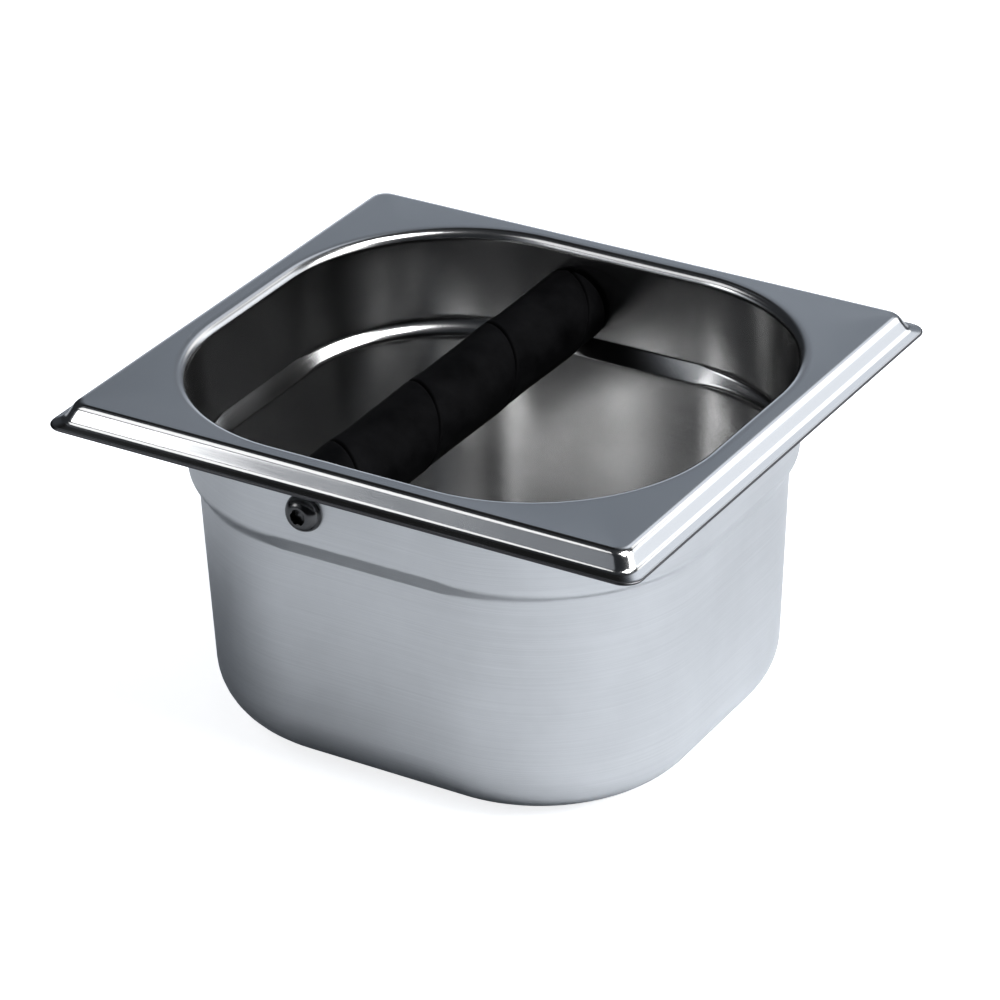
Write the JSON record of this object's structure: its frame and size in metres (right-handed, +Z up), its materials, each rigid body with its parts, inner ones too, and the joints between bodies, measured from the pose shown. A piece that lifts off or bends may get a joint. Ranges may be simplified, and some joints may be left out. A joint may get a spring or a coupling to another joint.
{
  "type": "espresso knock box",
  "caption": "Stainless gastronorm pan with a rubber-covered knock bar screwed across its mouth, for knocking out spent espresso pucks.",
  "frame": {"origin": "under the middle of the pan's floor, at the centre of the outline's bottom", "axes": "+X along the pan's long side, from the narrow side of the mouth to the wide one; +Y along the short side and the knock bar, front to rear; +Z up"},
  "size_m": [0.176, 0.162, 0.1],
  "materials": {
    "pan_steel": "satin brushed stainless steel",
    "rod_steel": "turned stainless steel",
    "sleeve_rubber": "matt black, wrap-cured hose",
    "screw_steel": "polished stainless steel"
  },
  "bodies": {
    "knock_box": {"pan": "pan_steel", "bar_rod": "rod_steel", "front_washer": "rod_steel", "rear_washer": "rod_steel", "front_screw": "screw_steel", "rear_screw": "screw_steel"},
    "sleeve": {"bar_sleeve": "sleeve_rubber"}
  },
  "joints": [
    {"name": "sleeve_turn", "type": "hinge", "parent": "knock_box", "child": "sleeve", "pos_m": [-0.015, 0, 0.0826], "axis": [0, 1, 0], "continuous": true}
  ]
}
